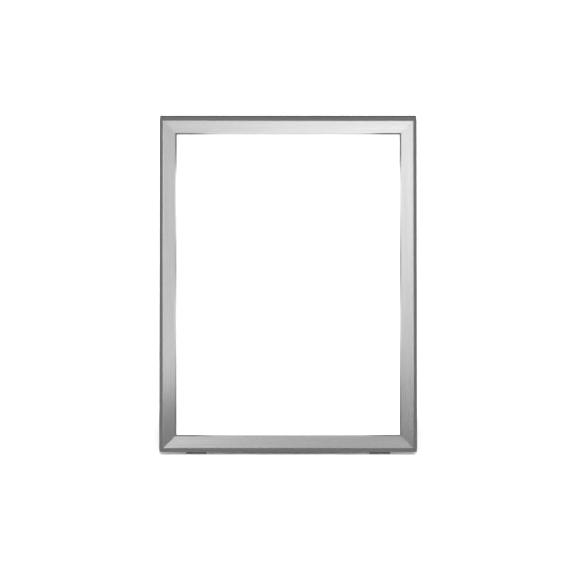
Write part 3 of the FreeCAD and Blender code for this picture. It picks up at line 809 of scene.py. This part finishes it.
def leaf_sections():
    """Outlines of the hinge leaf in the frame's Y and Z: with its knuckle rolled round the
    pin, and cut short where the other leaf's knuckles are."""
    height, gauge = board_size()[1], HINGE_GAUGE
    outer, bore, leaf_end, notch, root = 3.7, 1.8, 18.0, 7.2, 2.0
    pin = (pin_row(), -mm("pin_drop"))
    low, small, tiny = height - leaf_end, 0.25, 0.02
    throat, throat_round, top_round = 2.9, 1.5, 2.0
    bore_start, back_end = 77.0, 82.0       # where the roll meets the plate, degrees
    lap, lap_round = 148.0, 0.15            # the rolled edge, just under the plate
    bore_clear, back_clear = 12.0, 6.0      # the arcs stop this short of it
    end_in, end_out = ring_spot(pin, bore, lap), ring_spot(pin, outer, lap)
    start = height - notch - root           # the knuckle's root, inside the plate
    rolled = outline(
        (start, -gauge, tiny), (pin[0] - throat, -gauge, throat_round),
        arc(pin, bore, bore_start, lap - 360 + bore_clear, 36, -1),
        (*end_in, lap_round), (*end_out, lap_round),
        arc(pin, outer, lap - 360 + back_clear, back_end, 46),
        (pin[0] - root, 0, top_round), (start, 0, tiny))
    plate = outline((low, -gauge, small), (height - notch, -gauge, small),
                    (height - notch, 0, small), (low, 0, small))
    return rolled, plate


def hinge_leaf(frame_side, end):
    """A plate with two rolled knuckles joined on and its rivet holes cut."""
    rolled, plate = leaf_sections()
    middle = end * HINGE_REACH
    place = frame_place(frame_side)
    hole, below, above = 2.05, -3.0, 1.0
    shell = Shell()
    prism(shell, place, plate, straight(plate, middle - HINGE_HALF, middle + HINGE_HALF))
    piece = shell.make(f"{frame_side}_hinge_leaf_{end_name(frame_side, end)}", finish("zinc plate"))
    for low, high in KNUCKLES:
        knuckle = Shell()
        prism(knuckle, place, rolled, straight(rolled, middle + low, middle + high))
        carve(piece, knuckle, "UNION")
    for x, y in hinge_spots():
        if x * end > 0:
            carve(piece, bore(place.at(x, y), hole, below, above))


def bore(place, radius, low, high):
    """Round cutter along Z."""
    shell = Shell()
    lathe(shell, place, ((0, low), (radius, low), (radius, high), (0, high)), 32)
    return shell


def hinge_spots():
    """Places of a frame's hinge rivets."""
    row = board_size()[1] - RIVET_ROW
    return [(end * HINGE_REACH + step * RIVET_STEP, row) for end in ENDS for step in ENDS]


# ---- feet

FOOT_REACH = 180.0      # board's middle to each foot
FOOT_STEP = 12.0        # foot screws from the foot's middle
FOOT_ROW = 9.5          # and up from the bottom edge
FOOT_SEAT = -2.0        # where their heads sit


def foot_section():
    """Outline of the foot in the frame's Y and Z: a pad on the back web that turns under
    the frame, its sole level with the floor and ribbed."""
    back, toe, top, gap = -3.5, 2.0, 16.0, 2.5
    web_edge = 0.6
    heel, tip = [np.array((-(gap + z * math.sin(LEAN)) / math.cos(LEAN), z))
                 for z in (back, toe)]
    along = (heel - tip) / np.linalg.norm(heel - tip)
    inward = np.array((-along[1], along[0]))
    ribs, rib_half, rib_depth = [], 0.35, 0.45
    for share in (0.3, 0.5, 0.7):
        middle = tip + (heel - tip) * share
        ribs += [(*(middle - rib_half * along), 0.08),
                 (*(middle + rib_depth * inward), 0.12),
                 (*(middle + rib_half * along), 0.08)]
    return outline((top - 2, back, 0.6), (top, back + 1, 0.6), (top, 0, 0.15),
                   (web_edge, 0, 0.1), (web_edge, toe, 0.15), (*tip, 0.5), *ribs,
                   (*heel, 0.6))


def foot(frame_side, end):
    """A moulded foot with two sunk screw holes."""
    section = foot_section()
    place = frame_place(frame_side)
    middle, half = end * FOOT_REACH, 20.0
    shell = Shell()
    prism(shell, place, section, straight(section, middle - half, middle + half))
    name = f"{frame_side}_foot_{end_name(frame_side, end)}"
    piece = shell.make(name, finish("rubber"))
    hole, sink, below, above = 1.55, 3.1, -5.0, 1.0
    for step in (-FOOT_STEP, FOOT_STEP):
        spot = place.at(middle + step, FOOT_ROW)
        carve(piece, bore(spot, hole, below, above))
        carve(piece, bore(spot, sink, below, FOOT_SEAT))


# ---- stays

STAY_LENGTH = 225.0     # hinge pin to pivot, and pivot to slide pin
STAY_PLANE = 215.0      # board's middle to the inner face of the brackets
STAY_GAUGE = 2.0
RIVET_EDGE = 12.0       # bracket and track rivets from the board's side edge


def stay_rivet_rows(frame_side):
    """Heights up the panel of the two rivets at each side."""
    tab, half, spare = 12.0, 22.0, 24.0
    if frame_side == "front":
        low, high = pin_row() - STAY_LENGTH - half, pin_row() - STAY_LENGTH + half
    else:
        low = pin_row() - 2 * STAY_LENGTH - spare
        high = pin_row() - 2 * STAY_LENGTH * math.cos(2 * LEAN) + spare
    return low + tab / 2, high - tab / 2


def stay_spots(frame_side):
    """Places of the rivets of a frame's brackets or tracks."""
    across = board_size()[0] / 2 - RIVET_EDGE
    return [(end * across, row) for end in ENDS for row in stay_rivet_rows(frame_side)]


def stay_pins(end):
    """The pivot pin on the front frame and the slide pin at the arm's other end."""
    side = end_name("front", end)
    gap, rise, head, shank = 0.6, 1.4, 4.2, 2.5
    pivot_play, slide_play = (0.2, 0.0), (0.0, 0.3)     # under the inner and outer heads
    outside = STAY_PLANE + STAY_GAUGE
    inside = STAY_PLANE - gap - STAY_GAUGE
    pivot = frame_place("front").at(0, pin_row() - STAY_LENGTH, -mm("pin_drop"))
    turn = 2 * (2 * LEAN) - LEAN                # the arm's turn from the panel at rest
    across, up = math.sin(turn), math.cos(turn)
    slide = Place(pivot.origin + np.array((0, across, -up)) * STAY_LENGTH * MM, np.eye(3))
    for part, place, play in (("pivot", pivot, pivot_play), ("slide_pin", slide, slide_play)):
        near = (inside - play[0], inside - play[0] - rise, head)
        away = (outside + play[1], outside + play[1] + rise, head)
        heads = (near, away) if end > 0 else tuple((-a, -b, r) for a, b, r in (away, near))
        cross_pin(f"stay_{part}_{side}", place, shank, heads)


# ---- stage

# Sunlight: name, strength, and azimuth and elevation in degrees.
SUNS = (("sky", 3.2, 0, 88), ("front fill", 2.3, 0, 25), ("rear fill", 2.5, 180, 25))


def sun(name, strength, azimuth, elevation):
    """Very soft sunlight that leaves no highlight. Azimuth 0 shines from the front."""
    soft = 60.0
    lamp = bpy.data.lights.new(name, "SUN")
    lamp.energy = strength
    lamp.angle = math.radians(soft)
    made = linked(name, lamp)
    turn, rise = math.radians(azimuth), math.radians(elevation)
    made.location = (math.sin(turn) * math.cos(rise), -math.cos(turn) * math.cos(rise),
                     math.sin(rise))
    made.rotation_euler = (-made.location).to_track_quat("-Z", "Y").to_euler()
    made.visible_glossy = False


# Patches of the front light wall: across, height and radius in metres, and added radiance.
PATCHES = (
    (-0.65, 1.75, 0.45, 1.75),      # upper left, in the right rail's upper half
    (-0.60, 0.95, 0.32, -0.60),
    (0.45, 0.50, 0.40, 2.10),       # low right, in the top rail's right end
    (-0.05, 0.50, 0.35, 1.00),
    (-0.50, 0.45, 0.35, 0.30),
    (0.62, 1.15, 0.28, -0.28),
    (0.70, 1.75, 0.40, 0.75),
    (0.00, 2.15, 0.45, -0.32),      # above, in the bottom rail
)


def reflector(name, place, x_span, y_span, fades, glow):
    """Soft panel of light seen only in reflections, in a place's X and Y. Its radiance is
    glow(x, y) over metres. It fades to nothing over fades, the widths at low X, high X,
    low Y and high Y, by the smooth step 3t^2 - 2t^3."""
    cells, tone = 64, (0.985, 0.985, 1.0, 1)
    x, y = np.meshgrid(np.linspace(*x_span, cells), np.linspace(*y_span, cells))
    shine = np.maximum(glow(x, y), 0)
    insides = (x - x_span[0], x_span[1] - x, y - y_span[0], y_span[1] - y)
    for inside, fade in zip(insides, fades):
        rim = np.clip(inside / fade, 0, 1)
        shine = shine * rim * rim * (3 - 2 * rim)
    quads = grid_faces(np.arange(cells * cells).reshape(cells, cells))
    spots = place.points(np.stack((x, y, 0 * x), 2).reshape(-1, 3) / MM)
    mesh = bpy.data.meshes.new(name)
    mesh.from_pydata(spots.tolist(), [], quads.tolist())
    mesh.attributes.new("glow", "FLOAT", "POINT").data.foreach_set("value", shine.ravel())
    material = bpy.data.materials.new(name)
    material.use_nodes = True
    tree = material.node_tree
    tree.nodes.clear()
    read = add_node(tree, "ShaderNodeAttribute", {}, attribute_name="glow")
    emit = add_node(tree, "ShaderNodeEmission",
                    {"Color": tone, "Strength": read.outputs["Fac"]})
    add_node(tree, "ShaderNodeOutputMaterial", {"Surface": emit.outputs["Emission"]})
    mesh.materials.append(material)
    made = linked(name, mesh)
    made.visible_camera = made.visible_diffuse = made.visible_shadow = False


def light_walls():
    """A wall of light in front, level + sum a exp(-d^2 / r^2), a wider plain one behind,
    a dark flag that the lower crest mirrors, and a near card for the inner bevels."""
    level, behind, dip, dip_spread, flag_glow = 0.50, 0.62, 0.35, 0.6, 0.19
    wall_off, flag_off, no_fade = 3.1, 0.68, 0.001

    def patched(x, y):
        glow = np.full(x.shape, level)
        for across, up, radius, gain in PATCHES:
            glow += gain * np.exp(-((x - across) ** 2 + (y - up) ** 2) / radius ** 2)
        return glow

    def upright(y):
        return Place((0, y, 0), ((1, 0, 0), (0, 0, 1), (0, -1, 0)))

    reflector("front light", upright(-wall_off), (-1.7, 1.7), (-0.15, 2.9),
              (1.1, 1.1, 0.9, 1.3), patched)
    reflector("low flag", upright(-flag_off), (-0.9, 0.9), (-0.3, 0.25), (no_fade,) * 4,
              lambda x, y: np.full(x.shape, flag_glow))
    reflector("rear light", upright(wall_off), (-4.0, 4.0), (-0.6, 3.2),
              (1.0, 1.0, 0.5, 1.0),
              lambda x, y: behind - dip * np.exp(-x * x / dip_spread))
    width, height = board_size()
    inset, out, soft = 72.0, 90.0, 0.02
    half, tall = (width / 2 - inset) * MM, (height / 2 - inset) * MM
    middle, rise, swing, reach = 0.82, 0.62, 2.8, 0.35
    reflector("near card", frame_place("front").at(0, height / 2, out), (-half, half),
              (-tall, tall), (soft,) * 4,
              lambda x, y: middle + y / tall * (rise - swing * np.exp(
                  -(y / tall / reach) ** 2)))


def floor():
    """Wide pale floor that isn't mirrored in the metal."""
    half = 15.0
    mesh = bpy.data.meshes.new("floor")
    mesh.from_pydata([(-half, -half, 0), (half, -half, 0), (half, half, 0),
                      (-half, half, 0)], [], [(0, 1, 2, 3)])
    mesh.materials.append(finish("studio floor"))
    made = linked("floor", mesh)
    made.visible_glossy = False


def world(grey):
    """Plain grey surroundings, a little warm."""
    made = bpy.data.worlds.new("studio")
    made.use_nodes = True
    colour_socket = made.node_tree.nodes["Background"].inputs["Color"]
    colour_socket.default_value = (grey, grey, 0.94 * grey, 1)
    bpy.context.scene.world = made


def camera():
    """Long lens square to the board's width, above the horizon."""
    stage = bpy.context.scene.board_stage
    lens = bpy.data.cameras.new("camera")
    lens.lens = 400.0
    made = linked("camera", lens)
    far = stage.view_width * lens.lens / lens.sensor_width
    rise = stage.view_height
    middle = frame_place("front").points((0, board_size()[1] / 2, mm("rail_depth") / 2))
    up = np.array((0, math.sin(rise), math.cos(rise)))
    spot = middle + up * stage.aim_up + np.array((stage.aim_across, 0, 0))
    made.location = spot + far * np.array((0, -math.cos(rise), math.sin(rise)))
    made.rotation_euler = (math.pi / 2 - rise, 0, 0)
    bpy.context.scene.camera = made


# ---- operators

class SnapRails(bpy.types.Operator):
    """Makes the eight snap rails, mitred, each with its hook round the bead."""
    bl_idname = "board.snap_rails"
    bl_label = "Snap rails"

    def execute(self, context):
        for frame_side, side in RAILS:
            snap_rail(frame_side, side)
        return {"FINISHED"}


class BaseRails(bpy.types.Operator):
    """Makes the eight base rails with bead, key channel and panel groove."""
    bl_idname = "board.base_rails"
    bl_label = "Base rails"

    def execute(self, context):
        for frame_side, side in RAILS:
            base_rail(frame_side, side)
        return {"FINISHED"}


class BackPanels(bpy.types.Operator):
    """Makes the two steel back panels."""
    bl_idname = "board.back_panels"
    bl_label = "Back panels"

    def execute(self, context):
        sheets("back_panel", "panel_inset", mm("panel_seat"), "panel_gauge",
               finish("galvanised steel"))
        return {"FINISHED"}


class Posters(bpy.types.Operator):
    """Makes the two blank posters."""
    bl_idname = "board.posters"
    bl_label = "Posters"

    def execute(self, context):
        sheets("poster", "poster_inset", poster_seat(), "poster_gauge",
               finish("poster paper"))
        return {"FINISHED"}


class CoverSheets(bpy.types.Operator):
    """Makes the two clear cover sheets."""
    bl_idname = "board.cover_sheets"
    bl_label = "Cover sheets"

    def execute(self, context):
        seat = poster_seat() + mm("poster_gauge") + SHEET_AIR
        sheets("cover_sheet", "poster_inset", seat, "cover_gauge", finish("clear film"))
        return {"FINISHED"}


class CornerKeys(bpy.types.Operator):
    """Finishes the corner keys inside the base rails."""
    bl_idname = "board.corner_keys"
    bl_label = "Corner keys"

    def execute(self, context):
        dress([f"{side}_corner_keys" for side in FRAMES], finish("key steel"))
        return {"FINISHED"}


class CornerScrews(bpy.types.Operator):
    """Makes the pan head screws that hold the corner keys."""
    bl_idname = "board.corner_screws"
    bl_label = "Corner screws"

    def execute(self, context):
        head, base, tip = (3.2, 1.6), 0.0, 4.6
        for side in FRAMES:
            upright_group(f"{side}_corner_screws", side, corner_spots(), screw, head, base, tip)
        return {"FINISHED"}


class SnapSprings(bpy.types.Operator):
    """Finishes the spring strips under the snap rails."""
    bl_idname = "board.snap_springs"
    bl_label = "Snap springs"

    def execute(self, context):
        edge = 0.1
        dress([f"{side}_snap_springs" for side in FRAMES],
              finish("spring steel"), edge)
        return {"FINISHED"}


class HingeLeaves(bpy.types.Operator):
    """Makes the four hinge leaves with rolled knuckles."""
    bl_idname = "board.hinge_leaves"
    bl_label = "Hinge leaves"

    def execute(self, context):
        for frame_side, end in FRAME_ENDS:
            hinge_leaf(frame_side, end)
        return {"FINISHED"}


class HingeRivets(bpy.types.Operator):
    """Makes the rivets that hold the hinge leaves."""
    bl_idname = "board.hinge_rivets"
    bl_label = "Hinge rivets"

    def execute(self, context):
        for side in FRAMES:
            upright_group(f"{side}_hinge_rivets", side, hinge_spots(), rivet, HINGE_GAUGE)
        return {"FINISHED"}


class HingePins(bpy.types.Operator):
    """Makes the two headed hinge pins."""
    bl_idname = "board.hinge_pins"
    bl_label = "Hinge pins"

    def execute(self, context):
        play, rise, head, shank = 0.3, 1.5, 2.8, 1.75
        half = HINGE_HALF + play
        for end in ENDS:
            place = frame_place("front").at(end * HINGE_REACH, pin_row(), -mm("pin_drop"))
            cross_pin(f"hinge_pin_{end_name('front', end)}", place, shank,
                      ((-half, -half - rise, head), (half, half + rise, head)))
        return {"FINISHED"}


class StayPins(bpy.types.Operator):
    """Makes the stays' pivot pins and slide pins."""
    bl_idname = "board.stay_pins"
    bl_label = "Stay pins"

    def execute(self, context):
        for end in ENDS:
            stay_pins(end)
        return {"FINISHED"}


class StayRivets(bpy.types.Operator):
    """Makes the rivets of the stays' brackets and tracks."""
    bl_idname = "board.stay_rivets"
    bl_label = "Stay rivets"

    def execute(self, context):
        for side, part in (("front", "bracket"), ("rear", "track")):
            upright_group(f"stay_{part}_rivets", side, stay_spots(side), rivet, STAY_GAUGE)
        return {"FINISHED"}


class StayPlates(bpy.types.Operator):
    """Finishes the stays' arms, brackets and tracks."""
    bl_idname = "board.stay_plates"
    bl_label = "Stay arms, brackets and tracks"

    def execute(self, context):
        dress([f"stay_{part}_{side}" for side in ("left", "right")
               for part in ("bracket", "track", "arm")], finish("zinc plate"))
        return {"FINISHED"}


class Feet(bpy.types.Operator):
    """Makes the four rubber feet with ribbed soles."""
    bl_idname = "board.feet"
    bl_label = "Feet"

    def execute(self, context):
        for frame_side, end in FRAME_ENDS:
            foot(frame_side, end)
        return {"FINISHED"}


class FootScrews(bpy.types.Operator):
    """Makes the screws sunk in the feet."""
    bl_idname = "board.foot_screws"
    bl_label = "Foot screws"

    def execute(self, context):
        head, tip = (2.9, 1.3), 3.0
        spots = [(end * FOOT_REACH + side * FOOT_STEP, FOOT_ROW) for end in ENDS for side in ENDS]
        for side in FRAMES:
            upright_group(f"{side}_foot_screws", side, spots, screw, head, FOOT_SEAT, tip)
        return {"FINISHED"}


class Studio(bpy.types.Operator):
    """Makes the floor, lights, surroundings and camera."""
    bl_idname = "board.studio"
    bl_label = "Studio"

    def execute(self, context):
        floor()
        world(grey=0.2)
        for details in SUNS:
            sun(*details)
        light_walls()
        camera()
        bpy.context.scene.view_settings.view_transform = "Standard"
        return {"FINISHED"}


PIECES = (SnapRails, BaseRails, BackPanels, Posters, CoverSheets, CornerKeys, CornerScrews,
          SnapSprings, HingeLeaves, HingeRivets, HingePins, StayPins, StayRivets,
          StayPlates, Feet, FootScrews, Studio)


class BoardPanel(bpy.types.Panel):
    """Lists the board's sizes, colours and operators."""
    bl_idname = "VIEW3D_PT_sandwich_board"
    bl_label = "Sandwich board"
    bl_space_type = "VIEW_3D"
    bl_region_type = "UI"
    bl_category = "Sandwich board"

    def draw(self, context):
        scene = context.scene
        for group in (scene.board_sizes, scene.board_colours, scene.board_stage):
            box = self.layout.box()
            for name in group.__annotations__:
                box.prop(group, name)
        for operator in PIECES:
            self.layout.operator(operator.bl_idname)


CLASSES = (BoardSizes, BoardColours, BoardStage) + PIECES + (BoardPanel,)
GROUPS = {"board_sizes": BoardSizes, "board_colours": BoardColours,
          "board_stage": BoardStage}


def register():
    for cls in CLASSES:
        bpy.utils.register_class(cls)
    for name, group in GROUPS.items():
        setattr(bpy.types.Scene, name, PointerProperty(type=group))


def unregister():
    for name in GROUPS:
        delattr(bpy.types.Scene, name)
    for cls in reversed(CLASSES):
        bpy.utils.unregister_class(cls)


def main():
    register()
    for operator in PIECES:
        family, name = operator.bl_idname.split(".")
        getattr(getattr(bpy.ops, family), name)()


if __name__ == "__main__":
    main()
